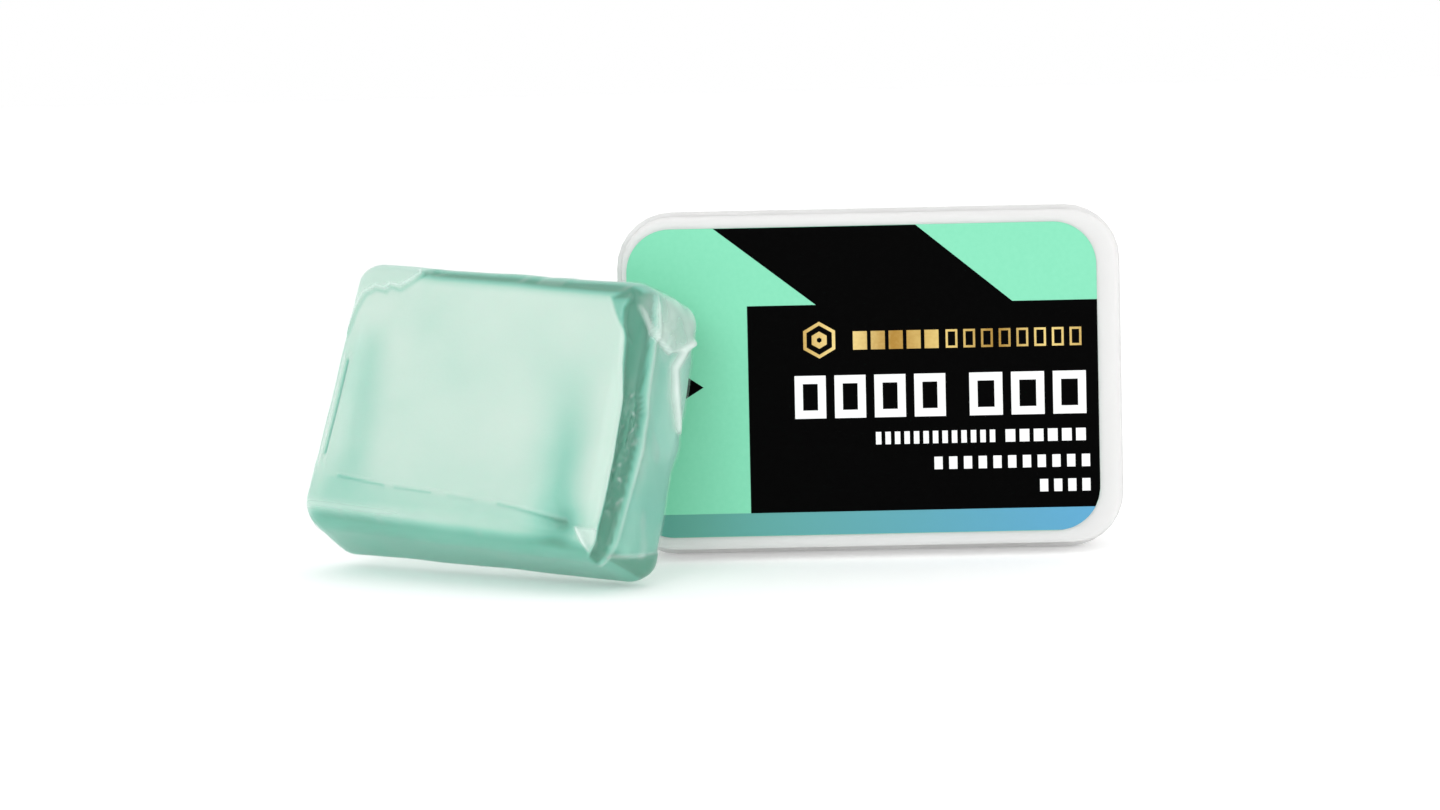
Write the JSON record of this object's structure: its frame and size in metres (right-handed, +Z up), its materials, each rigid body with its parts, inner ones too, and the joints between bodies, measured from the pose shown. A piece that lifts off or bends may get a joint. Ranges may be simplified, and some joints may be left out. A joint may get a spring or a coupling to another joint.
{
  "type": "clay bar",
  "caption": "Film-wrapped clay block for cleaning car paint, leaning on its hinged plastic storage case, which stands on its long side.",
  "frame": {"origin": "on the ground, under the middle of the bounding box of case and bar as they stand", "axes": "+X along the case's long side, to the right seen from the label; +Y into the case, away from the label; +Z up"},
  "size_m": [0.1518, 0.0662, 0.064],
  "materials": {
    "case_plastic": "milky translucent polypropylene with a light satin surface",
    "label_print": "satin coated sticker printed in mint green and black",
    "clay": "soft translucent mint green clay",
    "clear_film": "clear glossy wrapping film"
  },
  "bodies": {
    "lid": {"case_lid": "case_plastic", "lid_label": "label_print"},
    "tray": {"case_tray": "case_plastic"},
    "bar": {"clay_bar": "clay", "film_wrap": "clear_film"}
  },
  "joints": [
    {"name": "case_hinge", "type": "hinge", "parent": "lid", "child": "tray", "pos_m": [0.02886, 0.02039, 0.06196], "axis": [1, 0, 0], "range_deg": [0, 110]},
    {"name": "bar_lift", "type": "slide", "parent": "lid", "child": "bar", "axis": [0, 0, 1], "range_m": [0, 0.08]}
  ]
}
